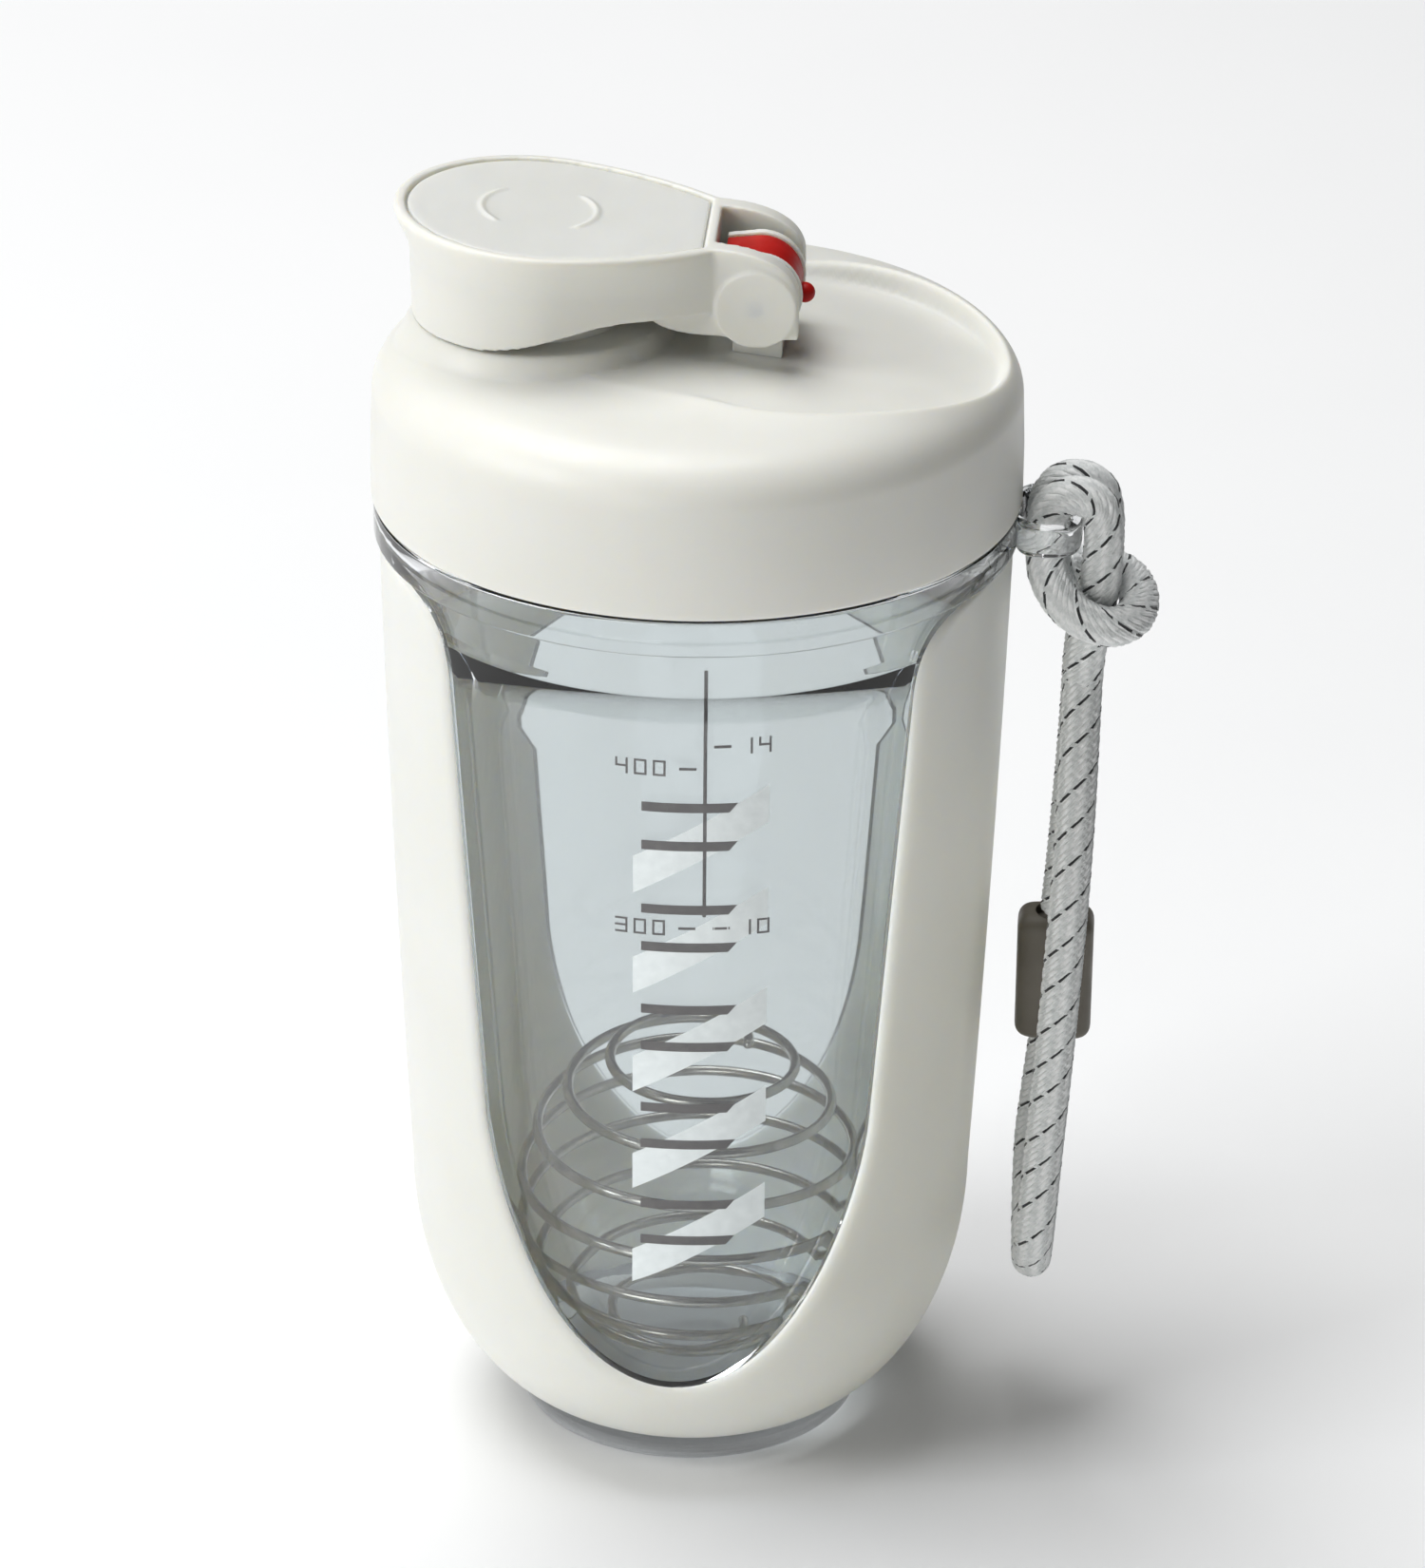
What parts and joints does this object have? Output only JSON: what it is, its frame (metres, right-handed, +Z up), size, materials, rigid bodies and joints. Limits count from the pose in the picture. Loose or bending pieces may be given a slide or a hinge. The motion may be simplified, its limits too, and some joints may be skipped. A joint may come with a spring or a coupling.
{
  "type": "protein shaker bottle",
  "caption": "Double-walled clear shaker cup in a cream side shell, with a screw lid, hinged flip cap over the spout, wire whisk ball and rope carry loop.",
  "frame": {"origin": "centre of the flat underside of the foot", "axes": "+Z up along the bottle's axis, spout towards -X, cap hinge and carry lug towards +X, clear windows towards -Y and +Y"},
  "size_m": [0.1153, 0.095, 0.1942],
  "materials": {
    "clear_plastic": "polished, transparent, faint smoky blue-grey tint",
    "cream_plastic": "moulded, satin, warm white",
    "liner_plastic": "moulded, plain",
    "silicone": "soft, translucent white",
    "red_plastic": "moulded, satin red",
    "steel_wire": "drawn stainless wire, polished",
    "rope_fibre": "braided, off-white with black tracer yarns",
    "keeper_plastic": "moulded, matt taupe"
  },
  "bodies": {
    "bottle": {"clear_jacket": "clear_plastic", "inner_cup": "clear_plastic", "side_shell": "cream_plastic", "rope_front": "rope_fibre", "rope_rear": "rope_fibre", "rope_knot": "rope_fibre", "rope_keeper": "keeper_plastic"},
    "whisk": {"whisk_ball": "steel_wire"},
    "lid_ring": {"lid_gasket": "silicone"},
    "lid": {"lid_shell": "cream_plastic", "lid_liner": "liner_plastic", "hinge_pin": "steel_wire"},
    "lock": {"lock_tab": "red_plastic"},
    "cap": {"cap_shell": "cream_plastic", "cap_top_panel": "cream_plastic", "spout_plug": "silicone"}
  },
  "joints": [
    {"name": "lid_rise", "type": "slide", "parent": "bottle", "child": "lid_ring", "axis": [0, 0, 1], "range_m": [0, 0.0057]},
    {"name": "lid_turn", "type": "hinge", "parent": "lid_ring", "child": "lid", "pos_m": [0, 0, 0.15], "axis": [0, 0, 1], "range_deg": [0, 400]},
    {"name": "cap_flip", "type": "hinge", "parent": "lid", "child": "cap", "pos_m": [0.0088, 0, 0.1822], "axis": [0, 1, 0], "range_deg": [0, 110]},
    {"name": "lock_push", "type": "hinge", "parent": "lid", "child": "lock", "pos_m": [0.0088, 0, 0.1822], "axis": [0, -1, 0], "range_deg": [0, 12]},
    {"name": "whisk_lift", "type": "slide", "parent": "bottle", "child": "whisk", "axis": [0, 0, 1], "range_m": [0, 0.09]}
  ],
  "couplings": [
    {"joint": "lid_rise", "follows": "lid_turn", "m_per_rad": 0.00079577}
  ]
}
